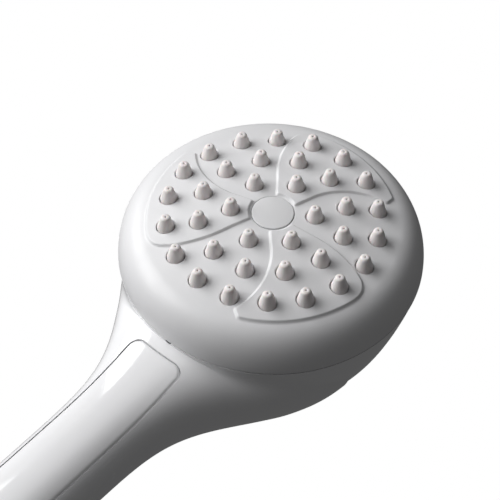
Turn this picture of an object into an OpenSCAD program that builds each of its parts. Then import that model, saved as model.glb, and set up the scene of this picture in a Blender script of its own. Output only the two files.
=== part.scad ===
// Handheld shower head: a round satin spray face with soft nozzles, on a gloss white body
// whose back narrows through a neck into a straight handle with a threaded hose inlet.
// The origin is the centre of the inlet's end face. +X runs along the handle to the head,
// +Z is the way the spray face looks, and all sizes are in millimetres.

/* [Overall] */
// Distance from the inlet's end face to the axis of the head
head_x = 188; // [170:1:215]
// Radius of the head at its seam
head_r = 42.5; // [42:0.5:52]

/* [Head] */
// Height of the seam above the axis of the handle
seam_z = 14.7; // [13.5:0.1:17]
// Height of the crown of the spray face above the axis of the handle
face_top = 30.6; // [29.5:0.1:37]
// Radius of the shallow dome of the spray face
dome_r = 158; // [120:1:400]
// Radius at which the dome turns into the rounded rim
dome_edge_r = 35; // [34:0.5:38]
// Depth of the head's back below the axis of the handle
head_depth = 24; // [22:0.5:28]
// Wall of the front cover
cover_wall = 2.4; // [1.8:0.1:3]
// Wall of the body shell
shell_wall = 2.6; // [2:0.1:3.2]
// Gap that shows as a line along the seams
seam_gap = 0.2; // [0.1:0.05:0.4]

/* [Spray pattern] */
// Radius of the inner ring of nozzles
inner_ring_r = 11.5; // [11:0.1:12.5]
// Radius of the middle ring of nozzles
middle_ring_r = 20.35; // [19:0.1:21.5]
// Radius of the outer ring of nozzles
outer_ring_r = 29.2; // [27.5:0.1:29.5]
// Angle of the first sector from the head's own +X
face_turn = 6; // [0:1:59]
// Radius of a nozzle where it leaves the face
nozzle_r = 2.4; // [2:0.05:2.8]
// Radius of a nozzle's tip
nozzle_tip_r = 1.25; // [1:0.05:1.6]
// Height of a nozzle above the face
nozzle_h = 3.8; // [2.5:0.1:5]
// Radius of the jet hole in a nozzle's tip
jet_r = 0.5; // [0.3:0.05:0.7]
// Height of the three raised petals above the face
petal_h = 0.65; // [0.4:0.05:1]
// Radius of the petals' outer edge
petal_r = 34.6; // [33.5:0.1:35]
// Radius of the disc in the middle of the face
cap_r = 5.9; // [5.5:0.1:6.1]

/* [Handle] */
// Half width of the grip
grip_half_w = 12.2; // [11.8:0.1:14]
// Height of the grip's front above its axis
grip_front = 10.8; // [10.4:0.1:13]
// Depth of the grip's back below its axis
grip_back = 11.2; // [10.8:0.1:13]
// Radius of the round end of the handle
end_r = 12.6; // [12.4:0.1:15]
// Distance over which the head narrows into the neck
neck_len = 42; // [38:1:46]
// Half width of the front panel
panel_half_w = 8.8; // [7:0.1:9.2]
// Thickness of the front panel
panel_t = 1.8; // [1.4:0.1:2.2]
// Distance from the inlet's end face to the panel's lower end
panel_start = 36; // [30:1:60]

/* [Water path] */
// Outside radius of the G1/2 inlet thread
thread_r = 10.48; // [10.48:0.01:10.48]
// Length of the inlet thread
thread_len = 12; // [10:0.5:14]
// Radius of the bore that holds the inlet cartridges
cartridge_r = 7.5; // [7:0.1:7.8]
// Outside radius of the tube in the handle
tube_r = 7; // [6.6:0.1:7.2]
// Inside radius of the tube in the handle
tube_bore_r = 5.6; // [5.4:0.1:5.7]
// Radius of the waterway through the spigots
flow_r = 3.4; // [2.5:0.1:3.5]
// Travel of the check valve's poppet
valve_travel = 2.5; // [1.5:0.1:3]

/* [Hidden] */
$fn = 72;

// Clearances between pieces
slide_gap = 0.1;     // a piece that is pushed into a bore
stack_gap = 0.05;    // faces of stacked pieces
hole_gap = 0.25;     // round a nozzle in its hole in the cover
run_gap = 0.06;      // the valve's stem in its guide
eps = 0.02;          // overlap of shapes joined within one piece

// Spray face
sectors = 6;
middle_turns = [13.3, -16.6];           // angles of the middle ring's nozzles in a sector
outer_turns = [11.5, -8.5, -28.4];      // angles of the outer ring's nozzles in a sector
mat_t = 1.6;
mat_edge_r = 33.5;
mat_steps = 9;                          // flats of the mat's dome, clear of the nozzles' edges
nozzle_bore_r = 1.2;
nozzle_roof = 1.1;                      // rubber left over the bore at the tip
hub_r = cap_r + 0.7;                    // where the petals start
cap_proud = 0.4;
panel_head_gap = 3.6;                   // between the head's edge and the front panel's upper end
rim_lead = 0.61;                        // the rim curve's handles, as shares of its width
rim_rise = 0.54;                        // and of its height

// Stack behind the face, as heights above the axis of the handle
mat_drop = cover_wall + stack_gap;
plate_drop = mat_drop + mat_t + stack_gap;
plate_z = seam_z + 3.3;                 // underside of the nozzle plate
flange_t = 3;
chamber_in_r = outer_ring_r + 1.8;
chamber_out_r = chamber_in_r + 2;
flange_r = chamber_out_r + 5;           // room for the screws round the chamber
chamber_floor = 8;
chamber_floor_t = 2.5;
screw_ring_r = (chamber_out_r + flange_r) / 2;
screw_r = 1.3;
screw_head_r = 2;
screw_head_h = 1.5;
screw_hole_gap = 0.05;
skirt_r = head_r - shell_wall - 0.3;    // cover's skirt inside the shell
skirt_t = 1.4;
skirt_foot = seam_z - 3.5;
distributor_z = plate_z - 5;
distributor_t = 1.6;
face_screw_r = 1.65;
cap_seat_z = face_top - 1.6;
face_screw_head_r = 3.4;
face_screw_head_h = 1.8;
cover_boss_r = 7;
cover_boss_z = face_top - 5.2;
elbow_back = 18;                        // elbow's distance from the head axis
elbow_r = 7.5;
elbow_depth = 6.5;
spigot_r = tube_bore_r - slide_gap;
spigot_tip = 48;                        // upper spigot's tip, from the head axis
tube_top = 33;                          // tube's upper end, from the head axis
seal_wire_r = 0.62;
seal_ring_r = tube_bore_r - 0.06 - seal_wire_r;

// Inlet end, as distances from the inlet's end face
flange_end = thread_len + 2.4;
shell_start = flange_end + 0.1;
connector_body_end = shell_start + 31.5;
connector_tip = connector_body_end + 16;
connector_r = 10;
tube_start = connector_body_end + 2;
cartridge_end = 34;
ring_x = shell_start + 10;
ring_t = 1.5;
piece_r = cartridge_r - slide_gap;
filter_x = 1.2;
regulator_x = 3.6;
regulator_len = 5;
valve_x = 9;
valve_len = 21;
seat_t = 3.5;
seat_r = 4.2;
valve_bore_r = 6.2;
poppet_r = 5.5;
poppet_x = valve_x + seat_t;            // seat face
stem_r = 1.5;
guide_len = 6;
guide_x = valve_x + valve_len - guide_len;
spring_r = 3.4;
spring_wire_r = 0.35;
spring_turns = 5;

satin_white = [0.83, 0.83, 0.84];
gloss_white = [0.92, 0.92, 0.92];
soft_grey = [0.78, 0.75, 0.74];
inner_white = [0.88, 0.88, 0.86];
seal_black = [0.12, 0.12, 0.12];
steel = [0.7, 0.7, 0.72];
valve_blue = [0.35, 0.5, 0.75];

// ---------- Shared shapes ----------

// Height of the low face at a radius from the head axis
function face_z(r) = face_top - dome_r + sqrt(dome_r * dome_r - r * r);

// Points of the dome from the middle to an edge radius, sunk by a drop
function dome_points(edge, drop, n = 10) =
    [for (i = [0:n]) let (r = edge * i / n) [r, face_z(r) - drop]];

// Points of the rounded rim, inset by t, on a curve that leaves along the dome and ends upright
function rim_points(t, n = 12) = let (
    slope = dome_edge_r / sqrt(dome_r * dome_r - dome_edge_r * dome_edge_r),
    a = [dome_edge_r, face_z(dome_edge_r) - t],
    d = [head_r - t, seam_z],
    lead = rim_lead * (head_r - dome_edge_r) - t / 2,
    b = a + lead * [1, -slope] / norm([1, slope]),
    c = d + [0, rim_rise * (face_z(dome_edge_r) - seam_z) - t / 2]
) [for (i = [1:n]) let (u = i / n, v = 1 - u)
    v * v * v * a + 3 * v * v * u * b + 3 * v * u * u * c + u * u * u * d];

// Points of a circular arc that starts at a, passes b and ends at c
function arc_through(a, b, c, n) = let (
    d = 2 * (a.x * (b.y - c.y) + b.x * (c.y - a.y) + c.x * (a.y - b.y)),
    aa = a * a, bb = b * b, cc = c * c,
    m = [
        (aa * (b.y - c.y) + bb * (c.y - a.y) + cc * (a.y - b.y)) / d,
        (aa * (c.x - b.x) + bb * (a.x - c.x) + cc * (b.x - a.x)) / d
    ],
    r = norm(a - m),
    t0 = atan2(a.y - m.y, a.x - m.x),
    t1 = atan2(c.y - m.y, c.x - m.x),
    sweep = (t1 - t0 + 540) % 360 - 180
) [for (i = [0:n]) m + r * [cos(t0 + sweep * i / n), sin(t0 + sweep * i / n)]];

function polar(r, a) = [r * cos(a), r * sin(a)];

// Places of the nozzles in one sector, as [radius, angle]
function sector_nozzles(turn) = concat(
    [[inner_ring_r, turn]],
    [for (a = middle_turns) [middle_ring_r, turn + a]],
    [for (a = outer_turns) [outer_ring_r, turn + a]]
);

// Height of a sector above the low face: every second sector is a raised petal
function sector_rise(i) = i % 2 == 0 ? petal_h : 0;

module at_head() {
    translate([head_x, 0, 0]) children();
}

module turned_along_x(x) {
    translate([x, 0, 0]) rotate([0, 90, 0]) children();
}

// Places its children at every nozzle, on the face
module at_nozzles() {
    for (i = [0:sectors - 1])
        for (p = sector_nozzles(face_turn + i * 360 / sectors))
            translate([p[0] * cos(p[1]), p[0] * sin(p[1]), face_z(p[0]) + sector_rise(i)])
                children();
}

module at_screws() {
    for (a = [30:60:330])
        rotate([0, 0, a]) translate([screw_ring_r, 0, 0]) children();
}

module ring(r_out, r_in, h) {
    rotate_extrude() translate([r_in, 0]) square([r_out - r_in, h]);
}

module o_ring(ring_r, wire_r) {
    rotate_extrude() translate([ring_r, 0]) circle(r = wire_r, $fn = 32);
}

// Neck and handle: sections across the handle, from inside the head to the handle's end.
// s is the distance from the head axis, and inset shrinks every section.
loft_sides = 28;
loft_rings = 24;
loft_first = 9;
shoulder_w = head_r - 5.4;              // half width of the neck where it leaves the head
shoulder_z = seam_z - 0.7;              // its front, just under the seam
shoulder_sink = 1.3;                    // its back, inside the head's back
section_power = 2.3;
function narrowing(s) = exp(-pow(max(s, 0) / neck_len, 2.9));
function front_blend(s) = exp(-pow(max(s - 41, 0) / 15, 1.8));
function end_blend(s) = let (t = min(max((s - 105) / 55, 0), 1)) t * t * (3 - 2 * t);
function half_w(s) = grip_half_w + (shoulder_w - grip_half_w) * narrowing(s)
    + (end_r - grip_half_w) * end_blend(s);
function front_h(s) = grip_front + (shoulder_z - grip_front) * front_blend(s)
    + (end_r - grip_front) * end_blend(s);
function back_h(s) = grip_back + (head_depth - shoulder_sink - grip_back) * narrowing(s)
    + (end_r - grip_back) * end_blend(s);
function section_power_at(s) = section_power + (2 - section_power) * end_blend(s);
function signed_pow(v, p) = sign(v) * pow(abs(v), p);
function section(s, inset) = let (k = 2 / section_power_at(s)) [
    for (i = [0:loft_sides - 1]) let (a = 360 * i / loft_sides) [
        head_x - s,
        (half_w(s) - inset) * signed_pow(cos(a), k),
        ((sin(a) > 0 ? front_h(s) : back_h(s)) - inset) * signed_pow(sin(a), k)
    ]
];

module handle_loft(inset, s_end) {
    stations = [for (i = [0:loft_rings])
        loft_first + (s_end - loft_first) * pow(i / loft_rings, 1.25)];
    points = [for (s = stations) each section(s, inset)];
    n = loft_sides;
    sides = [for (j = [0:loft_rings - 1]) for (i = [0:n - 1])
        let (k = (i + 1) % n)
            each [[j * n + i, j * n + k, (j + 1) * n + k],
                [j * n + i, (j + 1) * n + k, (j + 1) * n + i]]];
    inner_cap = [[for (i = [n - 1:-1:0]) i]];
    end_cap = [[for (i = [0:n - 1]) loft_rings * n + i]];
    polyhedron(points, concat(sides, inner_cap, end_cap), convexity = 6);
}

// Outline of the handle's front panel in plan, grown by a margin
module panel_outline(margin) {
    difference() {
        union() {
            translate([panel_start + panel_half_w, -panel_half_w - margin])
                square([head_x - panel_start - panel_half_w, 2 * (panel_half_w + margin)]);
            translate([panel_start + panel_half_w, 0]) circle(r = panel_half_w + margin);
        }
        translate([head_x, 0]) circle(r = head_r + panel_head_gap - margin);
    }
}

module panel_prism(margin) {
    linear_extrude(height = 40) panel_outline(margin);
}

// Outside of the head's back, from the seam down
function back_outline(inset, n = 14) = [
    for (i = [0:n]) let (a = 90 * i / n, r = head_r - inset) [
        r * pow(max(cos(a), 0), 0.39),
        seam_z - (seam_z + head_depth - inset) * pow(sin(a), 2)
    ]
];

module back_solid(inset, top) {
    rotate_extrude() polygon(concat([[0, top], [head_r - inset, top]], back_outline(inset),
        [[0, seam_z - (seam_z + head_depth - inset)]]));
}

// ---------- Shells ----------

// Outline of one raised petal, with its inner nozzle on the +X axis
module petal_outline() {
    rim_start = -41;
    rim_end = 14;
    hub_start = 25;
    hub_end = -33;
    rim = [for (i = [0:12]) polar(petal_r, rim_start + i * (rim_end - rim_start) / 12)];
    corner = arc_through([petal_r - 1.4, 9.6], [31, 11.7], [28, 12.3], 4);
    lead = arc_through([27, 12.3], [20.5, 10.9], [11.6, 6.3], 8);
    hub = [for (i = [0:6]) polar(hub_r, hub_start + i * (hub_end - hub_start) / 6)];
    trail = arc_through([9.4, -5.2], [18, -10.6], [23.3, -22.4], 12);
    polygon(concat(rim, corner, lead, hub, trail));
}

module petals() {
    for (i = [0:2:sectors - 1])
        intersection() {
            rotate_extrude() polygon(concat(
                dome_points(dome_edge_r, -petal_h),
                [[dome_edge_r, face_z(dome_edge_r) - 1], [0, face_z(dome_edge_r) - 1]]
            ));
            rotate([0, 0, face_turn + i * 360 / sectors])
                translate([0, 0, face_z(dome_edge_r) - 1])
                    linear_extrude(height = face_top) petal_outline();
        }
}

module front_cover() color(satin_white) at_head() {
    difference() {
        union() {
            difference() {
                union() {
                    rotate_extrude() polygon(concat(
                        dome_points(dome_edge_r, 0), rim_points(0), [[0, seam_z]]
                    ));
                    petals();
                }
                rotate_extrude() polygon(concat(
                    [[0, seam_z - 1]], dome_points(dome_edge_r, cover_wall),
                    rim_points(cover_wall), [[head_r - cover_wall, seam_z - 1]]
                ));
            }
            translate([0, 0, skirt_foot]) ring(skirt_r, skirt_r - skirt_t, 3.6);
            translate([0, 0, seam_z]) ring(head_r - cover_wall + eps, skirt_r - skirt_t, 1.4);
            translate([0, 0, cover_boss_z]) cylinder(r = cover_boss_r, h = 4);
        }
        at_nozzles() translate([0, 0, -8]) cylinder(r = nozzle_r + hole_gap, h = 12);
        translate([0, 0, cap_seat_z]) cylinder(r = cap_r + stack_gap, h = 5);
        translate([0, 0, cap_seat_z - face_screw_head_h - 0.1])
            cylinder(r = face_screw_head_r + 0.2, h = 5);
        translate([0, 0, cover_boss_z - 1]) cylinder(r = face_screw_r + 0.15, h = 6);
    }
}

module body_shell() color(gloss_white) difference() {
    boss_top = plate_z - flange_t - stack_gap;
    boss_foot = -2;
    boss_r = 2.3;
    rib_top = skirt_foot - 1;
    union() {
        difference() {
            union() {
                at_head() back_solid(0, seam_z - seam_gap);
                handle_loft(0, head_x - shell_start);
            }
            at_head() {
                back_solid(shell_wall, seam_z + 1);
                translate([0, 0, skirt_foot - 0.3]) cylinder(r = skirt_r + 0.3, h = 10);
            }
            handle_loft(panel_t + 1.2, head_x - connector_body_end + 4);
            turned_along_x(shell_start - 1)
                cylinder(r = connector_r + slide_gap, h = connector_body_end - shell_start + 1);
            // pocket and slot under the front panel
            difference() {
                panel_prism(0.12);
                handle_loft(panel_t, head_x - shell_start + 2);
            }
            panel_prism(-3.2);
        }
        intersection() {
            at_head() at_screws() {
                translate([0, 0, boss_foot]) cylinder(r = boss_r, h = boss_top - boss_foot);
                translate([0, -1, boss_foot])
                    cube([head_r - screw_ring_r, 2, rib_top - boss_foot]);
            }
            at_head() back_solid(1, seam_z + 2);
        }
    }
    at_head() at_screws() translate([0, 0, boss_foot + 1.2])
        cylinder(r = screw_r + screw_hole_gap, h = 30);
    turned_along_x(ring_x) cylinder(r = connector_r + 1.1, h = ring_t + 0.1);
}

module handle_front_panel() color(gloss_white) difference() {
    intersection() {
        panel_prism(0);
        handle_loft(0, head_x - shell_start);
    }
    handle_loft(panel_t - stack_gap, head_x - shell_start + 2);
}

module centre_cap() color(satin_white) at_head() {
    crown_drop = 0.3;
    base = cap_seat_z + stack_gap;
    crown_z = face_top + cap_proud;
    rotate_extrude() polygon(concat(
        [[0, base]],
        [for (i = [8:-1:0]) let (t = i / 8) [cap_r * t, i == 8 ? base : crown_z - crown_drop * t * t]]
    ));
}

// ---------- Spray parts ----------

// One nozzle's outside, from its root in the mat to its rounded tip
module nozzle_body() {
    root = cover_wall + petal_h + 1;
    shoulder = 0.38 * nozzle_h;
    neck = 0.8 * nozzle_h;
    rotate_extrude() polygon(concat(
        [[0, -root], [nozzle_r, -root], [nozzle_r, 0.15 * nozzle_h]],
        arc_through([nozzle_r - 0.05, shoulder * 0.8], [nozzle_r - 0.45, 0.6 * nozzle_h],
            [nozzle_tip_r + 0.1, neck], 5),
        [[nozzle_tip_r, 0.9 * nozzle_h], [nozzle_tip_r - 0.35, nozzle_h], [0, nozzle_h]]
    ));
}

module nozzle_bore() {
    translate([0, 0, -9]) cylinder(r = nozzle_bore_r, h = 9 + nozzle_h - nozzle_roof);
    translate([0, 0, -9]) cylinder(r = jet_r, h = 9 + nozzle_h + 1);
}

module nozzle_mat() color(soft_grey) at_head() difference() {
    union() {
        rotate_extrude() polygon(concat(
            dome_points(mat_edge_r, mat_drop, mat_steps),
            [for (i = [mat_steps:-1:0]) dome_points(mat_edge_r, mat_drop + mat_t, mat_steps)[i]]
        ));
        at_nozzles() nozzle_body();
    }
    at_nozzles() nozzle_bore();
    translate([0, 0, cover_boss_z - 2]) cylinder(r = cover_boss_r + 0.3, h = 10);
    // the nozzles' roots end flush with the underside of the mat
    rotate_extrude() polygon(concat(
        [[0, 0]], dome_points(mat_edge_r, mat_drop + mat_t, mat_steps), [[mat_edge_r, 0]]
    ));
}

module nozzle_plate() color(inner_white) at_head() difference() {
    union() {
        rotate_extrude() polygon(concat(
            [[0, plate_z]], dome_points(mat_edge_r, plate_drop), [[mat_edge_r, plate_z]]
        ));
        translate([0, 0, plate_z]) cylinder(r = flange_r, h = flange_t);
        translate([0, 0, distributor_z + distributor_t]) cylinder(r = 5, h = 6);
    }
    at_nozzles() translate([0, 0, -20]) cylinder(r = nozzle_bore_r, h = 20);
    // shallow gallery that feeds the outer ring
    translate([0, 0, plate_z - 1]) ring(outer_ring_r + 1.6, 6.5, 2);
    translate([0, 0, cover_boss_z - stack_gap]) cylinder(r = cover_boss_r + 0.3, h = 10);
    translate([0, 0, cover_boss_z - stack_gap - 1.4]) cylinder(r = 3.4, h = 2);
    translate([0, 0, distributor_z]) cylinder(r = face_screw_r + 0.15, h = 20);
    at_screws() translate([0, 0, plate_z - 1]) cylinder(r = screw_r + 0.2, h = 8);
}

module face_screw() color(steel) at_head() difference() {
    head_z = cap_seat_z - face_screw_head_h;
    union() {
        translate([0, 0, head_z]) cylinder(r = face_screw_head_r, h = face_screw_head_h - 0.1);
        translate([0, 0, chamber_floor + 1]) cylinder(r = face_screw_r, h = head_z - chamber_floor);
    }
    for (a = [0, 90])
        rotate([0, 0, a]) translate([-2, -0.35, cap_seat_z - 1.2]) cube([4, 0.7, 3]);
}

module face_screw_seal() color(seal_black) at_head() {
    wire_r = 0.65;
    translate([0, 0, cover_boss_z - stack_gap - 1.4 + wire_r])
        o_ring(face_screw_r + 0.1 + wire_r, wire_r);
}

module flow_distributor() color(inner_white) at_head() difference() {
    translate([0, 0, distributor_z + stack_gap / 2])
        cylinder(r = chamber_in_r - slide_gap, h = distributor_t - stack_gap);
    translate([0, 0, distributor_z - 1]) cylinder(r = face_screw_r + 0.15, h = 5);
    for (k = [[10, 9], [17, 12], [25, 18]])
        for (i = [0:k[1] - 1])
            rotate([0, 0, i * 360 / k[1]])
                translate([k[0], 0, distributor_z - 1]) cylinder(r = 1.5, h = 5);
}

module water_chamber() color(inner_white) difference() {
    seal_groove_r = (chamber_in_r + chamber_out_r) / 2 + 0.5;
    union() {
        at_head() {
            translate([0, 0, chamber_floor])
                cylinder(r = chamber_out_r, h = plate_z - chamber_floor - stack_gap);
            translate([0, 0, plate_z - flange_t])
                cylinder(r = flange_r, h = flange_t - stack_gap);
            translate([-elbow_back, 0, -elbow_depth])
                cylinder(r = elbow_r, h = elbow_depth + chamber_floor + 1);
        }
        turned_along_x(head_x - spigot_tip) cylinder(r = spigot_r, h = spigot_tip - elbow_back);
    }
    at_head() {
        difference() {
            translate([0, 0, chamber_floor + chamber_floor_t]) cylinder(r = chamber_in_r, h = 20);
            translate([0, 0, chamber_floor]) cylinder(r = 4.6, h = distributor_z - chamber_floor);
        }
        translate([0, 0, chamber_floor + 0.8]) cylinder(r = face_screw_r + screw_hole_gap, h = 20);
        translate([-elbow_back, 0, 0]) cylinder(r = flow_r + 0.6, h = chamber_floor + 4);
        translate([0, 0, plate_z - stack_gap - 2 * seal_wire_r])
            ring(seal_groove_r + seal_wire_r + 0.05, seal_groove_r - seal_wire_r - 0.05, 3);
        at_screws() cylinder(r = screw_r + 0.2, h = 30);
    }
    turned_along_x(head_x - spigot_tip - 1) cylinder(r = flow_r, h = spigot_tip - elbow_back + 1);
    turned_along_x(head_x - spigot_tip + 5) spigot_groove();
}

module chamber_seal() color(seal_black) at_head() {
    seal_groove_r = (chamber_in_r + chamber_out_r) / 2 + 0.5;
    translate([0, 0, plate_z - stack_gap - seal_wire_r]) o_ring(seal_groove_r, seal_wire_r);
}

module chamber_screws() color(steel) at_head() at_screws() {
    difference() {
        translate([0, 0, plate_z + flange_t + 0.02]) cylinder(r = screw_head_r, h = screw_head_h);
        translate([-1.4, -0.3, plate_z + flange_t + 0.7]) cube([2.8, 0.6, 2]);
    }
    translate([0, 0, 4]) cylinder(r = screw_r, h = plate_z + flange_t - 4 + 0.03);
}

// ---------- Water path in the handle ----------

// Groove for an O-ring round a spigot
module spigot_groove() {
    ring(tube_bore_r + 1, seal_ring_r - seal_wire_r, 2 * seal_wire_r + 0.1);
}

module waterway_tube() color(inner_white) turned_along_x(tube_start) difference() {
    length = head_x - tube_top - tube_start;
    cylinder(r = tube_r, h = length);
    translate([0, 0, -1]) cylinder(r = tube_bore_r, h = length + 2);
}

module tube_seal(x) {
    turned_along_x(x + seal_wire_r + 0.05) o_ring(seal_ring_r, seal_wire_r);
}

module tube_seal_upper() color(seal_black) tube_seal(head_x - spigot_tip + 5);

module tube_seal_lower() color(seal_black) tube_seal(connector_tip - 6);

module inlet_connector() color(inner_white) difference() {
    union() {
        turned_along_x(0) cylinder(r = thread_r, h = thread_len);
        turned_along_x(thread_len) cylinder(r = end_r - 0.1, h = flange_end - thread_len);
        turned_along_x(thread_len) cylinder(r = connector_r, h = connector_body_end - thread_len);
        turned_along_x(connector_body_end - 1)
            cylinder(r = spigot_r, h = connector_tip - connector_body_end + 1);
    }
    turned_along_x(-1) cylinder(r = cartridge_r, h = cartridge_end + 1);
    turned_along_x(cartridge_end - 1) cylinder(r = flow_r, h = connector_tip);
    turned_along_x(ring_x) ring(end_r + 2, connector_r - 1, ring_t + 0.1);
    turned_along_x(connector_tip - 6) spigot_groove();
}

// Open spring ring that locks the connector in the shell
module connector_snap_ring() color(steel) turned_along_x(ring_x + 0.05) difference() {
    ring(connector_r + 1.05, connector_r - 0.95, ring_t);
    translate([0, -1.5, -1]) cube([20, 3, 5]);
}

module inlet_filter() color(steel) turned_along_x(filter_x) difference() {
    union() {
        ring(piece_r, piece_r - 1.1, 2);
        cylinder(r = piece_r - 1, h = 0.5);
    }
    pitch = 1.5;
    for (i = [-3:3])
        for (j = [-3:3])
            let (x = (i + (j % 2 == 0 ? 0 : 0.5)) * pitch, y = j * pitch * sin(60))
                if (norm([x, y]) < piece_r - 1.8)
                    translate([x, y, -1]) cylinder(r = 0.45, h = 3);
}

module regulator_body() color(valve_blue) turned_along_x(regulator_x) difference() {
    cylinder(r = piece_r, h = regulator_len);
    translate([0, 0, -1]) ring(5.8, 2.8, 3);
    for (i = [0:11])
        rotate([0, 0, i * 30]) translate([4.3, 0, -1]) cylinder(r = 0.8, h = regulator_len + 2);
}

module regulator_ring() color(seal_black) turned_along_x(regulator_x + 2 - 0.9)
    o_ring(4.3, 0.9);

module check_valve_body() color(valve_blue) turned_along_x(valve_x) difference() {
    cylinder(r = piece_r, h = valve_len);
    translate([0, 0, -1]) cylinder(r = seat_r, h = valve_len);
    translate([0, 0, seat_t]) cylinder(r = valve_bore_r, h = valve_len);
}

// Spider that guides the poppet's stem and backs the spring
module valve_guide() color(valve_blue) turned_along_x(guide_x) difference() {
    hub = spring_r + 0.5;
    union() {
        ring(valve_bore_r - slide_gap, valve_bore_r - 1.1, guide_len);
        cylinder(r = hub, h = guide_len);
        for (a = [0, 120, 240])
            rotate([0, 0, a]) translate([hub - 1, -0.6, 1]) cube([2.4, 1.2, guide_len - 2]);
    }
    translate([0, 0, -1]) cylinder(r = stem_r + run_gap, h = guide_len + 2);
}

module valve_poppet() color(inner_white) {
    stem_end = guide_x + guide_len - valve_travel - 0.5;
    difference() {
        turned_along_x(poppet_x + 0.6) cylinder(r = poppet_r, h = 1.8);
        turned_along_x(poppet_x + 0.5) ring(5.3, 3.2, 0.6);
    }
    turned_along_x(poppet_x - 2) cylinder(r1 = 1.6, r2 = 3.1, h = 2.61);
    turned_along_x(poppet_x + 2.3) cylinder(r = stem_r, h = stem_end - poppet_x - 2.3);
}

module valve_seal() color(seal_black) turned_along_x(poppet_x + 0.05) ring(5.25, 3.25, 1);

// Compression spring between the poppet and the guide, wound by one swept round wire
module valve_spring() color(steel) {
    start = poppet_x + 2.4 + spring_wire_r + 0.05;
    length = guide_x - start - spring_wire_r - 0.05;
    wire_sides = 6;
    per_turn = 16;
    n = spring_turns * per_turn;
    rings = [for (j = [0:n]) let (a = 360 * j / per_turn, x = start + length * j / n)
        [for (k = [0:wire_sides - 1]) let (b = 360 * k / wire_sides,
            r = spring_r + spring_wire_r * cos(b))
            [x + spring_wire_r * sin(b), r * cos(a), r * sin(a)]]];
    points = [for (q = rings) each q];
    m = wire_sides;
    sides = [for (j = [0:n - 1]) for (i = [0:m - 1]) let (k = (i + 1) % m)
        each [[j * m + i, (j + 1) * m + i, (j + 1) * m + k],
            [j * m + i, (j + 1) * m + k, j * m + k]]];
    caps = [[for (i = [0:m - 1]) i], [for (i = [m - 1:-1:0]) n * m + i]];
    polyhedron(points, concat(sides, caps), convexity = 10);
}

front_cover();
body_shell();
handle_front_panel();
centre_cap();
face_screw();
face_screw_seal();
nozzle_mat();
nozzle_plate();
flow_distributor();
water_chamber();
chamber_seal();
chamber_screws();
waterway_tube();
tube_seal_upper();
tube_seal_lower();
inlet_connector();
connector_snap_ring();
inlet_filter();
regulator_body();
regulator_ring();
check_valve_body();
valve_guide();
valve_spring();
valve_poppet();
valve_seal();
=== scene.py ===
import math

import bmesh
import bpy
import numpy as np
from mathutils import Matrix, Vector
from mathutils.geometry import delaunay_2d_cdt


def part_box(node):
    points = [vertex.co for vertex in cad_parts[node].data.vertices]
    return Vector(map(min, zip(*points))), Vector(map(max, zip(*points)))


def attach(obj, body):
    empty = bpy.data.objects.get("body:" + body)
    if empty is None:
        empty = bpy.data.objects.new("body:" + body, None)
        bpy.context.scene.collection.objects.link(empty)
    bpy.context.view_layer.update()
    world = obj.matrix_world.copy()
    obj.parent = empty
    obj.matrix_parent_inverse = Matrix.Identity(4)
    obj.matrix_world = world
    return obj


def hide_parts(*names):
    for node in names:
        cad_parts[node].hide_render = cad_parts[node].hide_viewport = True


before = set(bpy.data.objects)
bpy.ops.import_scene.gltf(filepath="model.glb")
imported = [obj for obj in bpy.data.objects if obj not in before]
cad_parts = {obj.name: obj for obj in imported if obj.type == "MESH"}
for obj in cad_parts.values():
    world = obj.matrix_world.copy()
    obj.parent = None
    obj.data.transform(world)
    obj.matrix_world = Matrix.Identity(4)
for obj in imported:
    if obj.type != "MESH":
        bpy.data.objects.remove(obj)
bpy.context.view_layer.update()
MM = 0.001

# ---------- Sizes of the shower head, in millimetres ----------

cover_low, cover_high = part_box("front_cover")
head_x = (cover_low.x + cover_high.x) / 2 / MM
head_r = (cover_high.y - cover_low.y) / 2 / MM
face_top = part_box("centre_cap")[1].z / MM - 0.4
head_depth = -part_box("body_shell")[0].z / MM
shell_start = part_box("body_shell")[0].x / MM
panel_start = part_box("handle_front_panel")[0].x / MM
panel_half_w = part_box("handle_front_panel")[1].y / MM
panel_head_gap = 3.6
seam_z = 14.7
seam_gap = 0.2
dome_r = 158.0
dome_edge_r = 35.0
cover_wall = 2.4
petal_h = 0.65
petal_r = 34.6
cap_r = 5.8
hub_r = 6.6
hole_r = 2.62
nozzle_r = 2.38                                 # where it passes the cover
nozzle_neck_r = 2.24                            # just over the face
nozzle_waist = (1.6, 2.6)                       # radius and height where the tip starts to round off
jet_r = 0.2
mat_edge_r, mat_t = 33.5, 1.6
shell_wall = 2.5
nozzle_h = 3.8
inner_ring_r, middle_ring_r, outer_ring_r = 11.5, 20.35, 29.2
sectors, face_turn = 6, 6
middle_turns, outer_turns = (13.3, -16.6), (11.5, -8.5, -28.4)


def to_linear(code):
    """A colour written as sRGB hex, as linear red, green, blue and alpha."""
    parts = [int(code[i:i + 2], 16) / 255 for i in (1, 3, 5)]
    return [c / 12.92 if c < 0.04045 else ((c + 0.055) / 1.055) ** 2.4 for c in parts] + [1.0]


# ---------- Nodes and materials ----------

def add(tree, kind, settings=None, inputs=None):
    """Adds one node. settings are its properties. inputs are constants, or sockets that are linked."""
    item = tree.nodes.new(kind)
    for key, value in (settings or {}).items():
        setattr(item, key, value)
    for key, value in (inputs or {}).items():
        socket = item.inputs[key]
        if isinstance(value, bpy.types.NodeSocket):
            tree.links.new(value, socket)
        else:
            socket.default_value = value
    return item


def new_material(name):
    """An empty node material with its output, and the Principled shader wired to it."""
    made = bpy.data.materials.new(name)
    made.use_nodes = True
    tree = made.node_tree
    tree.nodes.clear()
    shader = add(tree, "ShaderNodeBsdfPrincipled")
    add(tree, "ShaderNodeOutputMaterial", None, {"Surface": shader.outputs[0]})
    return made, tree, shader


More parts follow.
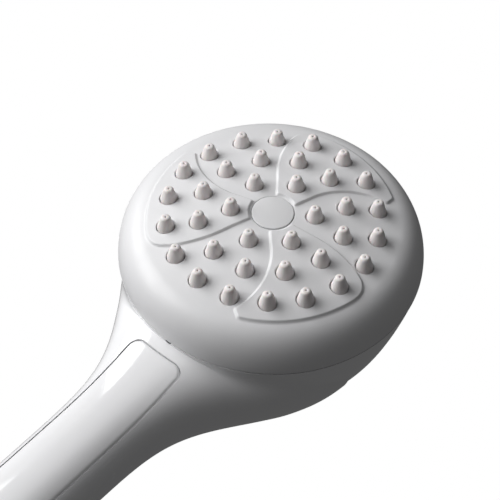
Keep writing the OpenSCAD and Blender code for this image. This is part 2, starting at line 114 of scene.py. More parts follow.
def surface(name, light, dark, rough, grain_mm, depth_mm, ior=1.5, metallic=0.0, patch_mm=9.0, **extra):
    """A solid material: two close colours in soft patches, a grain in the bump, roughness that drifts."""
    made, tree, shader = new_material(name)
    place = add(tree, "ShaderNodeTexCoord").outputs["Object"]
    patch = add(tree, "ShaderNodeTexNoise", None,
                {"Vector": place, "Scale": 1000 / patch_mm, "Detail": 3.0, "Roughness": 0.55})
    tint = add(tree, "ShaderNodeMix", {"data_type": "RGBA"},
               {"Factor": patch.outputs["Fac"], 6: to_linear(light), 7: to_linear(dark)})
    drift = add(tree, "ShaderNodeMapRange", None,
                {"Value": patch.outputs["Fac"], "From Min": 0.3, "From Max": 0.7,
                 "To Min": rough[0], "To Max": rough[1]})
    grain = add(tree, "ShaderNodeTexNoise", None,
                {"Vector": place, "Scale": 1000 / grain_mm, "Detail": 2.0, "Roughness": 0.5})
    bump = add(tree, "ShaderNodeBump", None,
               {"Height": grain.outputs["Fac"], "Strength": 1.0, "Distance": depth_mm * MM})
    tree.links.new(tint.outputs[2], shader.inputs["Base Color"])
    tree.links.new(drift.outputs["Result"], shader.inputs["Roughness"])
    tree.links.new(bump.outputs["Normal"], shader.inputs["Normal"])
    shader.inputs["Metallic"].default_value = metallic
    if not metallic:
        shader.inputs["IOR"].default_value = ior
    for key, value in extra.items():
        shader.inputs[key.replace("_", " ")].default_value = value
    return made


# ABS moulded against a spark-eroded tool: a soft sheen with no clear mirror image, and a fine
# even grain about 0.25 mm apart that breaks the highlights. IOR 1.53.
satin_abs = surface("moulded_satin_abs", "#dcdcdd", "#d6d6d8", (0.38, 0.46), 0.25, 0.004, ior=1.53)
# ABS moulded against a polished tool: deep gloss with a crisp image of the light, and a very
# slight waviness some 30 mm long from the wall cooling. IOR 1.53.
gloss_abs = surface("moulded_gloss_abs", "#e9e9ea", "#e5e5e7", (0.07, 0.11), 14.0, 0.015, ior=1.53)
# Liquid silicone rubber: warm grey, dull, and light passes a little way into the thin tips. IOR 1.41.
silicone = surface("moulded_silicone_rubber", "#e8e3e2", "#e0dad9", (0.38, 0.5), 0.3, 0.004, ior=1.41,
                   patch_mm=4.0, Subsurface_Weight=0.06, Subsurface_Scale=0.002)
# Acetal, moulded: milky white and slippery, with a slight sheen and fine tool marks. IOR 1.48.
acetal = surface("moulded_acetal", "#e6e5de", "#deddd5", (0.3, 0.4), 0.4, 0.004, ior=1.48)
# Acetal coloured through, as cartridges are so that they are told apart. IOR 1.48.
blue_acetal = surface("moulded_blue_acetal", "#5b7fb4", "#5476aa", (0.3, 0.42), 0.4, 0.004, ior=1.48)
# Ethylene propylene rubber: near black and dull, with a faint bloom. IOR 1.5.
epdm = surface("moulded_epdm_rubber", "#1d1d1e", "#262627", (0.5, 0.65), 0.3, 0.006, ior=1.5)
# Stainless steel, drawn or pressed and left plain: grey with soft reflections and fine drawing marks.
steel = surface("plain_stainless_steel", "#b9bab8", "#aeafad", (0.26, 0.36), 0.15, 0.003, metallic=1.0)

for name, made in {
    "face_screw": steel, "chamber_screws": steel, "connector_snap_ring": steel,
    "inlet_filter": steel, "valve_spring": steel,
    "face_screw_seal": epdm, "chamber_seal": epdm, "tube_seal_upper": epdm,
    "tube_seal_lower": epdm, "regulator_ring": epdm, "valve_seal": epdm,
    "nozzle_plate": acetal, "flow_distributor": acetal, "water_chamber": acetal,
    "waterway_tube": acetal, "valve_poppet": acetal,
    "regulator_body": blue_acetal, "check_valve_body": blue_acetal, "valve_guide": blue_acetal,
}.items():
    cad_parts[name].data.materials.clear()
    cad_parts[name].data.materials.append(made)


# ---------- Mesh helpers ----------

def as_object(name, points, faces, made, sharp=35):
    """A smooth-shaded object from points in millimetres, with edges sharper than an angle left crisp."""
    mesh = bpy.data.meshes.new(name)
    mesh.from_pydata([tuple(p) for p in np.asarray(points, float) * MM], [], faces)
    build = bmesh.new()
    build.from_mesh(mesh)
    bmesh.ops.remove_doubles(build, verts=build.verts, dist=2e-7)
    bmesh.ops.dissolve_degenerate(build, edges=build.edges, dist=1e-8)
    bmesh.ops.recalc_face_normals(build, faces=build.faces)
    if build.calc_volume(signed=True) < 0:
        bmesh.ops.reverse_faces(build, faces=build.faces)
    build.to_mesh(mesh)
    build.free()
    mesh.shade_smooth()
    mesh.set_sharp_from_angle(angle=math.radians(sharp))
    mesh.materials.append(made)
    thing = bpy.data.objects.new(name, mesh)
    bpy.context.scene.collection.objects.link(thing)
    return thing


def lathe(profile, turns, at=(0, 0), along_x=False):
    """Points and faces of a closed profile of (radius, height), turned once round its axis."""
    angles = [2 * math.pi * k / turns for k in range(turns)]
    points, faces, n = [], [], len(profile)
    for a in angles:
        for r, h in profile:
            if along_x:
                points.append((h, r * math.cos(a), r * math.sin(a)))
            else:
                points.append((at[0] + r * math.cos(a), at[1] + r * math.sin(a), h))
    for k in range(turns):
        q = (k + 1) % turns
        for i in range(n - 1):
            faces.append((k * n + i, q * n + i, q * n + i + 1, k * n + i + 1))
    return points, faces


def bezier(a, b, c, d, steps):
    """Points of a cubic curve, its first point left out."""
    u = np.linspace(0, 1, steps + 1)[1:, None]
    v = 1 - u
    a, b, c, d = (np.array(p) for p in (a, b, c, d))
    return v**3 * a + 3 * v * v * u * b + 3 * v * u * u * c + u**3 * d


def arc_through(a, b, c, n):
    """Points of the circular arc that starts at a, passes b and ends at c."""
    a, b, c = (complex(*p) for p in (a, b, c))
    w = (c - a) / (b - a)
    middle = (b - a) * (w - abs(w) ** 2) / (2j * w.imag) + a
    start, sweep = a - middle, 0.0
    full = np.angle((c - middle) / (a - middle))
    half = np.angle((b - middle) / (a - middle))
    sweep = full if half * full > 0 else full - np.sign(full) * 2 * math.pi
    path = middle + start * np.exp(1j * sweep * np.arange(n + 1) / n)
    return np.stack([path.real, path.imag], 1)


def smooth_step(t):
    t = np.clip(t, 0, 1)
    return t * t * (3 - 2 * t)


def face_z(r):
    return face_top - dome_r + np.sqrt(dome_r**2 - np.asarray(r, float) ** 2)


def evenly(loop, gap):
    """A closed loop again, with its points evenly spaced about a gap apart."""
    closed = np.vstack([loop, loop[:1]])
    run = np.concatenate([[0], np.cumsum(np.hypot(*np.diff(closed, axis=0).T))])
    at = np.linspace(0, run[-1], int(run[-1] / gap) + 1)[:-1]
    return np.stack([np.interp(at, run, closed[:, 0]), np.interp(at, run, closed[:, 1])], 1)


def distance_to(loop, points):
    """Distance of points from a closed loop, negative inside it."""
    best = np.full(len(points), 1e9)
    inside = np.zeros(len(points), bool)
    for a, b in zip(loop, np.roll(loop, -1, 0)):
        edge, rel = b - a, points - a
        t = np.clip(rel @ edge / (edge @ edge), 0, 1)
        best = np.minimum(best, np.hypot(*(rel - t[:, None] * edge).T))
        crosses = (a[1] > points[:, 1]) != (b[1] > points[:, 1])
        with np.errstate(divide="ignore", invalid="ignore"):
            where = a[0] + (points[:, 1] - a[1]) * edge[0] / edge[1]
        inside ^= crosses & (points[:, 0] < where)
    return np.where(inside, -best, best)


def offset_loop(loop, by):
    """A closed, anticlockwise loop moved outwards, with the points that fold back left out."""
    along = np.roll(loop, -1, 0) - np.roll(loop, 1, 0)
    along /= np.hypot(*along.T)[:, None]
    moved = loop + by * np.stack([along[:, 1], -along[:, 0]], 1)
    kept = np.abs(distance_to(loop, moved) - by) < 0.05
    return moved[kept]


def triangulate(loops, loose):
    """Triangles over loops (kept as edges) and loose points."""
    points, edges = [], []
    for loop in loops:
        base, n = len(points), len(loop)
        points += [Vector(p) for p in loop]
        edges += [(base + i, base + (i + 1) % n) for i in range(n)]
    points += [Vector(p) for p in loose]
    out, _, faces = delaunay_2d_cdt(points, edges, [], 0, 1e-5)[:3]
    return np.array([(p.x, p.y) for p in out]), np.array(faces)


def open_edges(triangles):
    """Edges that only one triangle has, in its own direction."""
    used = {(a, b) for t in triangles for a, b in ((t[0], t[1]), (t[1], t[2]), (t[2], t[0]))}
    return sorted((a, b) for a, b in used if (b, a) not in used)


# ---------- Spray face and cover ----------

def turned(points, degrees):
    a = math.radians(degrees)
    return np.asarray(points) @ np.array([[math.cos(a), math.sin(a)], [-math.sin(a), math.cos(a)]])


def nozzle_places():
    """(x, y, raised) of the nozzles: six sectors of one, two and three, every second one on a petal."""
    out = []
    rings = [(inner_ring_r, (0,)), (middle_ring_r, middle_turns), (outer_ring_r, outer_turns)]
    for i in range(sectors):
        start = face_turn + 360 / sectors * i
        for r, a in [(r, a) for r, turns in rings for a in turns]:
            t = math.radians(start + a)
            out.append((r * math.cos(t), r * math.sin(t), i % 2 == 0))
    return out


def petal_loop():
    """Outline of one petal with its inner nozzle on +X, anticlockwise."""
    def round_axis(r, a0, a1, n):
        t = np.radians(np.linspace(a0, a1, n + 1))
        return np.stack([r * np.cos(t), r * np.sin(t)], 1)
    return np.vstack([
        round_axis(petal_r, -41, 14, 40),
        arc_through((petal_r - 1.4, 9.2), (31, 11.7), (28, 12.3), 8),
        arc_through((27, 12.3), (20.5, 10.9), (11.6, 6.3), 24),
        round_axis(hub_r, 25, -33, 12),
        arc_through((9.4, -5.2), (18, -10.6), (23.3, -22.4), 30),
    ])


nozzles = nozzle_places()
petals = [evenly(turned(petal_loop(), face_turn + 120 * k), 0.6) for k in range(3)]


def petal_lift(points):
    """Height of the petals over the low face: a soft step about 0.7 mm wide."""
    nearest = np.min([distance_to(loop, points) for loop in petals], 0)
    return petal_h * smooth_step(0.5 - nearest / 0.75)


def edge_fall(gap, radius):
    """How far a rounded edge has fallen at a gap from the edge."""
    left = np.clip(radius - gap, 0, radius)
    return radius - np.sqrt(np.maximum(radius**2 - left**2, 0))


def unit_circle(n):
    t = np.radians(np.arange(n) * 360 / n)
    return np.stack([np.cos(t), np.sin(t)], 1)


def hole_gap_at(points, centres):
    """Distance of points from the edge of the nearest nozzle hole."""
    return np.min([np.hypot(*(points - c).T) for c in centres], 0) - hole_r


def cover():
    """The front cover: petals, 36 rounded holes and the seat of the cap, on a turned rim and skirt."""
    rim_steps = 192
    outer = dome_edge_r * unit_circle(rim_steps)
    centres = np.array([(x, y) for x, y, _ in nozzles])
    ring, cap_ring = unit_circle(40), unit_circle(72)
    seat_r = cap_r + 0.16
    loops = [outer, seat_r * cap_ring] + [c + hole_r * ring for c in centres]
    loose = [(seat_r + d) * cap_ring for d in (0.06, 0.15, 0.3)]
    loose += [c + (hole_r + d) * ring for c in centres for d in (0.07, 0.18, 0.32, 0.55)]
    for loop in petals:
        loose += [offset_loop(loop, d) for d in (-0.5, -0.34, -0.2, -0.07, 0.07, 0.2, 0.34, 0.5)]
    loose = np.vstack(loose)
    loose = loose[(hole_gap_at(loose, centres) > 0.05) & (np.hypot(*loose.T) < dome_edge_r - 0.3)
                  & (np.hypot(*loose.T) > seat_r + 0.05)]
    pitch = 0.8
    span = np.arange(-dome_edge_r, dome_edge_r, pitch)
    rows = enumerate(np.arange(-dome_edge_r, dome_edge_r, pitch * 0.87))
    grid = np.array([(x + (0.5 * pitch if j % 2 else 0), y) for j, y in rows for x in span])
    nearest = np.abs(np.min([distance_to(loop, grid) for loop in petals], 0))
    away = np.hypot(*grid.T)
    grid = grid[(nearest > 0.8) & (hole_gap_at(grid, centres) > 0.9)
                & (away < dome_edge_r - 0.5) & (away > seat_r + 0.6)]
    flat, triangles = triangulate(loops, np.vstack([loose, grid]))
    middle = flat[triangles].mean(1)
    triangles = triangles[(hole_gap_at(middle, centres) > -0.01) & (np.hypot(*middle.T) > seat_r - 0.01)]
    away = np.hypot(*flat.T)
    drop = edge_fall(hole_gap_at(flat, centres), 0.3) + edge_fall(away - seat_r, 0.2)
    top = face_z(away) + petal_lift(flat) * (away < dome_edge_r - 0.1) - drop
    low = face_z(away) - cover_wall
    n = len(flat)
    points = np.vstack([np.column_stack([flat, top]), np.column_stack([flat, low])])
    faces = [tuple(t) for t in triangles] + [tuple(n + t[::-1]) for t in triangles]
    faces += [(b, a, n + a, n + b) for a, b in open_edges(triangles) if away[a] < dome_edge_r - 0.1]
    slope = dome_edge_r / math.sqrt(dome_r**2 - dome_edge_r**2)
    out = np.array([1, -slope]) / math.hypot(1, slope)
    width, height = head_r - dome_edge_r, float(face_z(dome_edge_r)) - seam_z

    def rim(t, steps):
        a = np.array([dome_edge_r, float(face_z(dome_edge_r)) - t])
        d = np.array([head_r - t, seam_z])
        return np.vstack([a, bezier(a, a + (0.61 * width - t / 2) * out,
                                    d + (0, 0.54 * height - t / 2), d, steps)])
    skirt_r = head_r - 2.9
    soft = [(head_r - 0.02, seam_z + 0.12), (head_r - 0.12, seam_z + 0.02), (head_r - 0.3, seam_z)]
    profile = np.vstack([rim(0, 40)[:-1], soft, [(skirt_r, seam_z), (skirt_r, seam_z - 3.5),
                         (skirt_r - 1.4, seam_z - 3.5), (skirt_r - 1.4, seam_z + 1.2),
                         (head_r - cover_wall, seam_z + 1.2)], rim(cover_wall, 16)[::-1][2:]])
    turned_points, turned_faces = lathe([tuple(p) for p in profile], rim_steps)
    base = len(points)
    faces += [tuple(base + i for i in f) for f in turned_faces]
    points = np.vstack([points, turned_points]) + (head_x, 0, 0)
    return as_object("spray_face_cover", points, faces, satin_abs, sharp=50)


def cap():
    """The small disc in the middle of the face, slightly crowned, with a rounded edge."""
    crown, foot, edge = face_top + 0.4, face_top - 1.5, 0.25
    profile = [(0, foot), (cap_r - 0.2, foot), (cap_r, foot + 0.2), (cap_r, crown - 0.3 - edge)]
    for a in np.radians(np.arange(15, 91, 15)):
        profile.append((cap_r - edge + edge * math.cos(a), crown - 0.3 - edge + edge * math.sin(a)))
    profile += [(cap_r * t, crown - 0.3 * t * t) for t in (0.8, 0.6, 0.4, 0.2)] + [(0, crown)]
    points, faces = lathe(profile, 96, at=(head_x, 0))
    return as_object("face_centre_cap", points, faces, satin_abs)


# ---------- Soft nozzles, set out by Geometry Nodes ----------

def nozzle_form():
    """One soft nozzle on the origin: straight foot, tapered sides, rounded tip with its jet hole."""
    foot = -(cover_wall + 1.0)
    neck, tip = (nozzle_neck_r, 0.1), (0.5, nozzle_h)
    bore_r, roof = 1.2, nozzle_h - 1.1
    outside = [(nozzle_r, foot), (nozzle_r, -0.3), neck]
    outside += [tuple(p) for p in bezier(neck, (2.12, 0.8), (1.85, 1.7), nozzle_waist, 12)]
    outside += [tuple(p) for p in bezier(nozzle_waist, (1.42, 3.25), (1.3, nozzle_h), tip, 10)]
    outside += [(jet_r + 0.12, nozzle_h - 0.02), (jet_r + 0.04, nozzle_h - 0.07), (jet_r, nozzle_h - 0.2)]
    outside += [(jet_r, roof), (bore_r, roof), (bore_r, foot), (nozzle_r, foot)]
    points, faces = lathe(outside, 28)
    return as_object("soft_nozzle_form", points, faces, silicone)


def mat_form():
    """The flat part of the elastomer mat, behind the cover, on the origin."""
    radii = np.linspace(7.3, mat_edge_r, 24)
    top = [(r, float(face_z(r)) - cover_wall - 0.05) for r in radii]
    low = [(r, z - mat_t) for r, z in reversed(top)]
    points, faces = lathe(top + low + top[:1], 96)
    return as_object("soft_mat_form", points, faces, silicone)


def nozzle_mat():
    """The mat with its 36 nozzles: one form repeated on points that carry the ring pattern."""
    spots = [(x, y, float(face_z(math.hypot(x, y))) + (petal_h if up else 0)) for x, y, up in nozzles]
    mesh = bpy.data.meshes.new("nozzle_points")
    mesh.from_pydata([tuple(MM * c for c in p) for p in spots], [], [])
    carrier = bpy.data.objects.new("nozzle_points", mesh)
    bpy.context.scene.collection.objects.link(carrier)
    forms = [nozzle_form(), mat_form()]
    tree = bpy.data.node_groups.new("nozzles_on_points", "GeometryNodeTree")
    face = tree.interface
    face.new_socket("Points", in_out="INPUT", socket_type="NodeSocketGeometry")
    wanted = {"Nozzle": "NodeSocketObject", "Mat": "NodeSocketObject", "Finish": "NodeSocketMaterial",
              "Head Offset": "NodeSocketVector", "Nozzle Scale": "NodeSocketFloat"}
    sockets = {k: face.new_socket(k, in_out="INPUT", socket_type=v).identifier for k, v in wanted.items()}
    face.new_socket("Geometry", in_out="OUTPUT", socket_type="NodeSocketGeometry")
    source = add(tree, "NodeGroupInput")
    nozzle = add(tree, "GeometryNodeObjectInfo", None, {"Object": source.outputs["Nozzle"]})
    mat = add(tree, "GeometryNodeObjectInfo", None, {"Object": source.outputs["Mat"]})
    repeated = add(tree, "GeometryNodeInstanceOnPoints", None,
                   {"Points": source.outputs["Points"], "Instance": nozzle.outputs["Geometry"],
                    "Scale": source.outputs["Nozzle Scale"]})
    joined = add(tree, "GeometryNodeJoinGeometry")
    tree.links.new(repeated.outputs["Instances"], joined.inputs[0])
    tree.links.new(mat.outputs["Geometry"], joined.inputs[0])
    placed = add(tree, "GeometryNodeTransform", None,
                 {"Geometry": joined.outputs[0], "Translation": source.outputs["Head Offset"]})
    real = add(tree, "GeometryNodeRealizeInstances", None, {"Geometry": placed.outputs[0]})
    done = add(tree, "GeometryNodeSetMaterial", None,
               {"Geometry": real.outputs[0], "Material": source.outputs["Finish"]})
    add(tree, "NodeGroupOutput", None, {0: done.outputs[0]})
    modifier = carrier.modifiers.new("nozzles", "NODES")
    modifier.node_group = tree
    modifier[sockets["Nozzle"]] = forms[0]
    modifier[sockets["Mat"]] = forms[1]
    modifier[sockets["Finish"]] = silicone
    modifier[sockets["Head Offset"]] = (head_x * MM, 0.0, 0.0)
    modifier[sockets["Nozzle Scale"]] = 1.0
    bpy.context.view_layer.update()
    evaluated = carrier.evaluated_get(bpy.context.evaluated_depsgraph_get())
    mesh = bpy.data.meshes.new_from_object(evaluated)
    mesh.name = "soft_nozzle_mat"
    piece = bpy.data.objects.new("soft_nozzle_mat", mesh)
    bpy.context.scene.collection.objects.link(piece)
    for spare in [carrier] + forms:
        bpy.data.objects.remove(spare)
    return piece


# ---------- Body: head back, neck and handle in one skin ----------

neck_len, neck_back_len = 42.0, 46.0            # over which the head narrows, and its back rises
grip_half_w, grip_front, grip_back, end_r = 12.2, 10.8, 11.2, 12.6
shoulder_w, shoulder_z, shoulder_back = head_r - 5.4, seam_z - 0.7, head_depth - 1.3


def section_sizes(s):
    """Half width, front height, back depth and section power at a distance from the head axis."""
    narrow = np.exp(-(np.maximum(s, 0) / neck_len) ** 2.9)
    narrow_back = np.exp(-(np.maximum(s, 0) / neck_back_len) ** 2.9)
    front = np.exp(-(np.maximum(s - 41, 0) / 15) ** 1.8)
    end = smooth_step((s - 105) / 55)
    half = grip_half_w + (shoulder_w - grip_half_w) * narrow + (end_r - grip_half_w) * end
    up = grip_front + (shoulder_z - grip_front) * front + (end_r - grip_front) * end
    down = grip_back + (shoulder_back - grip_back) * narrow_back + (end_r - grip_back) * end
    return half, up, down, 2.3 - 0.3 * end


def neck_reach(s, a):
    """Distance from the handle's axis to the neck's or handle's surface, at angles a."""
    half, up, down, power = section_sizes(s)
    c, d = np.abs(np.cos(a)), np.abs(np.sin(a))
    tall = np.where(np.sin(a) > 0, up, down)
    return ((c / half) ** power + (d / tall) ** power) ** (-1 / power)


def bowl_radius(z, inset):
    """Radius of the head's back at a height, or nothing below its bottom."""
    t = np.clip((seam_z - z) / (seam_z + head_depth - inset), 0, 1)
    return (head_r - inset) * (1 - t) ** 0.195


def bowl_reach(s, a, inset):
    """Distance from the handle's axis to the far side of the head's back, at angles a."""
    steps = np.linspace(0, 46, 1400)[:, None]
    y, z = steps * np.cos(a), steps * np.sin(a)
    top, bottom = seam_z - seam_gap, -(head_depth - inset)
    radius = bowl_radius(z, inset)
    free = np.minimum.reduce([radius - np.hypot(s, y), top - z, z - bottom])
    inside = free >= 0
    last = np.where(inside.any(0), len(steps) - 1 - np.argmax(inside[::-1], 0), 0)
    cols = np.arange(len(a))
    nxt = np.minimum(last + 1, len(steps) - 1)
    f0, f1 = free[last, cols], free[nxt, cols]
    part = np.where(f0 - f1 > 1e-9, f0 / np.maximum(f0 - f1, 1e-9), 0)
    reach = steps[last, 0] + np.clip(part, 0, 1) * (steps[1, 0] - steps[0, 0])
    return np.where(inside.any(0), reach, 0.0)


def body_reach(s, a, inset):
    """Outside (or inside) of the body: the head's back and the neck run into each other softly."""
    neck = neck_reach(s, a) - inset - 0.4 * max(9 - s, 0)
    bowl = bowl_reach(s, a, inset) if s < head_r - inset else np.zeros(len(a))
    soft = (4.5 + 6 * np.cos(a) ** 2) * float(smooth_step((s - 16) / 14)) + 0.001
    near = np.clip(soft - np.abs(neck - bowl), 0, None) / soft
    reach = np.maximum(neck, bowl) + near**3 * soft / 6
    flat_top = np.where(np.sin(a) > 0.05, (seam_z - seam_gap) / np.maximum(np.sin(a), 0.05), 1e3)
    return np.minimum(reach, flat_top)


def body_rows(inset, far, near, beyond):
    """Rows of points: the fan round the far half of the head, then sections along the neck and handle."""
    top, r = seam_z - seam_gap, head_r - inset
    columns = 220
    u = np.linspace(0, 1, columns + 1)
    fan = []
    corner = math.atan2(top, r)
    a = corner - u[: columns // 2 + 1] * (math.pi + 2 * corner)
    reach = bowl_reach(0.0, a, inset)
    reach[0] = math.hypot(top, r)
    for phi in np.linspace(-math.pi / 2, math.pi / 2, far):
        away = reach * np.cos(a)
        away[-1] = 0.0
        fan.append(np.stack([head_x + away * math.cos(phi), away * math.sin(phi), reach * np.sin(a)], 1))
    rows = []
    stations = [r * math.cos(t) for t in np.linspace(math.pi / 2, 0, near)]
    stations += [r + (head_x - shell_start - r) * q for q in beyond]
    for s in stations:
        side = math.sqrt(max(r * r - s * s, 0))
        corner = math.atan2(top, side) if s < r else math.pi / 2
        a = corner - u * (math.pi + 2 * corner)
        reach = body_reach(s, a, inset)
        if s < r - 1e-9:
            reach[0] = reach[-1] = math.hypot(top, side)
        rows.append(np.stack([np.full(len(a), head_x - s), reach * np.cos(a), reach * np.sin(a)], 1))
    return fan, rows


def front_height(x, y):
    """Height of the handle's front at a place in plan."""
    half, up, _, power = section_sizes(head_x - np.asarray(x, float))
    return up * (1 - np.clip(np.abs(y) / half, 0, 1) ** power) ** (1 / power)


def panel_loop(grow, gap):
    """Outline of the front panel in plan: straight sides, a round lower end, hollowed round the head."""
    half, soft = panel_half_w + grow, 3.0 + grow
    reach = head_r + panel_head_gap - grow
    # the corner's circle touches the straight side and the arc round the head from outside it
    off = half - soft
    corner = head_x - math.sqrt((reach + soft) ** 2 - off**2)
    touch = math.atan2(off, head_x - corner)
    t = np.linspace(-touch, touch, 40)
    top = np.stack([head_x - reach * np.cos(t), reach * np.sin(t)], 1)
    t = np.linspace(-touch, math.pi / 2, 10)
    upper = np.stack([corner + soft * np.cos(t), off + soft * np.sin(t)], 1)
    t = np.linspace(math.pi / 2, 3 * math.pi / 2, 40)
    end_x = panel_start + panel_half_w
    low = np.stack([end_x + half * np.cos(t), half * np.sin(t)], 1)
    lower = upper[::-1] * (1, -1)
    loop = np.vstack([top, upper[1:], low, lower[:-1]])
    return evenly(loop, gap)


def plan_grid(step_x, step_y, half):
    """Points in plan over the length of the front panel."""
    return np.array([(x, y) for x in np.arange(panel_start, head_x - head_r, step_x)
                     for y in np.arange(-half, half + 0.1, step_y)])


def plate(name, loop, loose, top, low, made, sharp):
    """A closed plate over a loop in plan, between two heights."""
    flat, triangles = triangulate([loop], loose)
    middle = flat[triangles].mean(1)
    triangles = triangles[distance_to(loop, middle) < 0]
    n = len(flat)
    points = np.vstack([np.column_stack([flat, top(flat)]), np.column_stack([flat, low(flat)])])
    faces = [tuple(t) for t in triangles] + [tuple(n + t[::-1]) for t in triangles]
    faces += [(b, a, n + a, n + b) for a, b in open_edges(triangles)]
    return as_object(name, points, faces, made, sharp)


def body():
    """The gloss body as a closed wall, with the panel's pocket cut out of its front."""
    far, near = 73, 73
    beyond = [(k / 90) ** 1.35 for k in range(1, 91)]
    points, faces = [], []

    def lay(rows, flip):
        base = len(points)
        n = len(rows[0])
        for row in rows:
            points.extend(row)
        for j in range(len(rows) - 1):
            for i in range(n - 1):
                one, two = base + j * n + i, base + (j + 1) * n + i
                q = (one, one + 1, two + 1, two)
                faces.append(q[::-1] if flip else q)
    outer_fan, outer_rows = body_rows(0.0, far, near, beyond)
    inner_fan, inner_rows = body_rows(shell_wall, far, near, beyond)
    for rows, flip in ((outer_fan, False), (outer_rows, False), (inner_fan, True), (inner_rows, True)):
        lay(rows, flip)
    lay([np.array([row[0] for row in outer_fan]), np.array([row[0] for row in inner_fan])], False)
    for side in (0, -1):
        lay([np.array([row[side] for row in outer_rows[:near]]),
             np.array([row[side] for row in inner_rows[:near]])], False)
    lay([outer_rows[-1], inner_rows[-1]], False)
    shell = as_object("gloss_body_skin", points, faces, gloss_abs, sharp=40)
    loop = panel_loop(0.14, 0.7)
    span = plan_grid(2.0, 2.0, 8)
    span = span[distance_to(loop, span) < -0.6]
    cutter = plate("panel_pocket", loop, span, lambda p: np.full(len(p), 24.0),
                   lambda p: front_height(p[:, 0], p[:, 1]) - 1.95, gloss_abs, 40)
    cut = shell.modifiers.new("pocket", "BOOLEAN")
    cut.object = cutter
    cut.operation = "DIFFERENCE"
    cut.solver = "EXACT"
    bpy.context.view_layer.update()
    evaluated = shell.evaluated_get(bpy.context.evaluated_depsgraph_get())
    mesh = bpy.data.meshes.new_from_object(evaluated)
    mesh.name = "gloss_body"
    mesh.shade_smooth()
    mesh.set_sharp_from_angle(angle=math.radians(38))
    mesh.materials.clear()
    mesh.materials.append(gloss_abs)
    piece = bpy.data.objects.new("gloss_body", mesh)
    bpy.context.scene.collection.objects.link(piece)
    bpy.data.objects.remove(shell)
    bpy.data.objects.remove(cutter)
    return piece


def panel():
    """The tongue let into the handle's front, with its edges rounded off."""
    soft = 0.9
    loop = panel_loop(0.0, 0.6)
    loose = [offset_loop(loop, -d) for d in (0.06, 0.15, 0.28, 0.42, 0.58, 0.75, 0.92, 1.15)]
    grid = plan_grid(1.0, 0.7, 8.5)
    loose.append(grid[distance_to(loop, grid) < -1.4])

    def top(p):
        edge = edge_fall(np.maximum(-distance_to(loop, p), 0), soft)
        return front_height(p[:, 0], p[:, 1]) - 0.02 - edge * 0.8
    return plate("gloss_front_panel", loop, np.vstack(loose), top,
                 lambda p: front_height(p[:, 0], p[:, 1]) - 1.75, gloss_abs, 50)


# ---------- Inlet connector ----------

def connector():
    """Threaded inlet, flange, plug body and spigot, with the bore for the cartridges."""
    pitch, depth, start, end = 25.4 / 14, 1.162, 0.9, 11.2
    turns = 96
    thread_r = 10.47

    def crest(x, a):
        """Outside radius of the thread at a distance along it and an angle round it."""
        phase = (x / pitch - a / (2 * math.pi)) % 1.0
        ridge = min(max((abs(phase - 0.5) * 2 - 0.12) / 0.76, 0), 1)
        fade = min(max((x - start) / 1.2, 0), 1) * min(max((end - x) / 1.2, 0), 1)
        return thread_r - depth * (1 - ridge) * fade - depth * max(0.9 - x, 0) * 0.6
    stations = [0.0] + list(np.arange(0.3, end + 0.4, pitch / 10))
    after = [(thread_r, 12.0), (12.3, 12.0), (12.48, 12.18), (12.48, 14.2), (12.3, 14.38), (9.98, 14.4),
             (9.98, 24.5), (9.1, 24.5), (9.1, 26.05), (9.98, 26.05), (9.98, 45.8), (9.8, 46.0), (5.5, 46.0),
             (5.5, 56.0), (4.35, 56.0), (4.35, 57.34), (5.5, 57.34), (5.5, 61.7), (5.2, 62.0), (3.4, 62.0),
             (3.4, 34.0), (7.5, 34.0), (7.5, 0.5), (7.9, 0.0)]
    points, faces = [], []
    n = len(stations) + len(after) + 1
    for k in range(turns):
        a = 2 * math.pi * k / turns
        profile = [(crest(x, a), x) for x in stations] + after + [(crest(0.0, a), 0.0)]
        points += [(x, r * math.cos(a), r * math.sin(a)) for r, x in profile]
    for k in range(turns):
        q = (k + 1) % turns
        faces += [(k * n + i, q * n + i, q * n + i + 1, k * n + i + 1) for i in range(n - 1)]
    return as_object("threaded_inlet", points, faces, acetal, sharp=30)


pieces = [
    (cover(), "front_cover", "satin_shell"),
    (cap(), "centre_cap", "satin_shell"),
    (nozzle_mat(), "nozzle_mat", "soft_nozzle"),
    (body(), "body_shell", "gloss_shell"),
    (panel(), "handle_front_panel", "gloss_shell"),
    (connector(), "inlet_connector", "inner_plastic"),
]
for piece, node, slot in pieces:
    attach(piece, "shower_body")
    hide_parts(node)

# ---------- Studio ----------


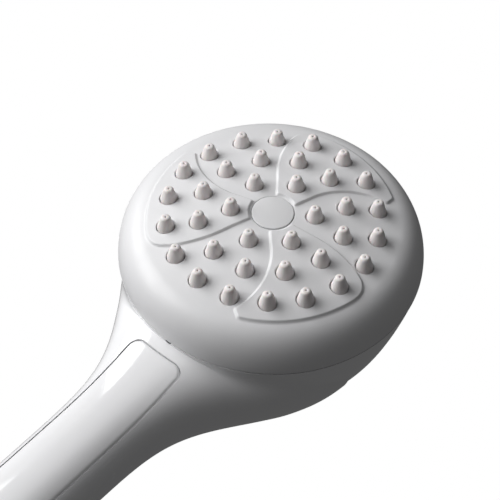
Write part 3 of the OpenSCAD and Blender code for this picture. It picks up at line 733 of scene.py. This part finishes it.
def stage_sheet(name, corners, made):
    """A flat sheet of the studio that only the camera sees, so it lights nothing."""
    mesh = bpy.data.meshes.new(name)
    mesh.from_pydata(corners, [], [(0, 1, 2, 3)])
    mesh.materials.append(made)
    sheet = bpy.data.objects.new(name, mesh)
    bpy.context.scene.collection.objects.link(sheet)
    sheet.visible_diffuse = sheet.visible_glossy = sheet.visible_shadow = False
    sheet.visible_transmission = False
    return sheet


def glowing(name, code, strength):
    made = bpy.data.materials.new(name)
    made.use_nodes = True
    tree = made.node_tree
    tree.nodes.clear()
    glow = add(tree, "ShaderNodeEmission", None, {"Color": to_linear(code), "Strength": strength})
    add(tree, "ShaderNodeOutputMaterial", None, {"Surface": glow.outputs[0]})
    return made


far, low = 30.0, -0.4
stage_sheet("pale_floor", [(-far, -far, low), (far, -far, low), (far, far, low), (-far, far, low)],
            glowing("pale_floor_paper", "#ffffff", 1.0))

ambient = 0.1
world = bpy.data.worlds.new("studio")
bpy.context.scene.world = world
world.use_nodes = True
world.node_tree.nodes["Background"].inputs["Color"].default_value = to_linear("#ffffff")
world.node_tree.nodes["Background"].inputs["Strength"].default_value = ambient

face_centre = Vector((head_x * MM, 0, 0.029))


def softbox(name, direction, distance, size, power, aim=face_centre):
    """A rectangular area light that looks at a point of the object."""
    light = bpy.data.lights.new(name, "AREA")
    light.shape = "RECTANGLE"
    light.size, light.size_y = size
    light.energy = power
    lamp = bpy.data.objects.new(name, light)
    bpy.context.scene.collection.objects.link(lamp)
    way = Vector(direction).normalized()
    lamp.location = aim + way * distance
    lamp.rotation_euler = way.to_track_quat("Z", "Y").to_euler()
    return lamp


softbox("left_softbox", (-0.270, 0.780, 0.565), 0.8, (0.80, 0.60), 9.2)
softbox("top_softbox", (-0.06, 0.42, 0.90), 0.6, (0.56, 0.56), 0.5)

camera_data = bpy.data.cameras.new("camera")
camera_data.lens = 125.6
camera_data.shift_x = -0.033
camera_data.shift_y = 0.0034
camera = bpy.data.objects.new("camera", camera_data)
bpy.context.scene.collection.objects.link(camera)
camera.location = face_centre + 0.4752 * Vector((-0.50975, -0.40158, 0.76085))
camera.rotation_euler = [math.radians(a) for a in (39.2665, -1.5532, -49.6348)]
bpy.context.scene.camera = camera
bpy.context.scene.view_settings.view_transform = "Standard"
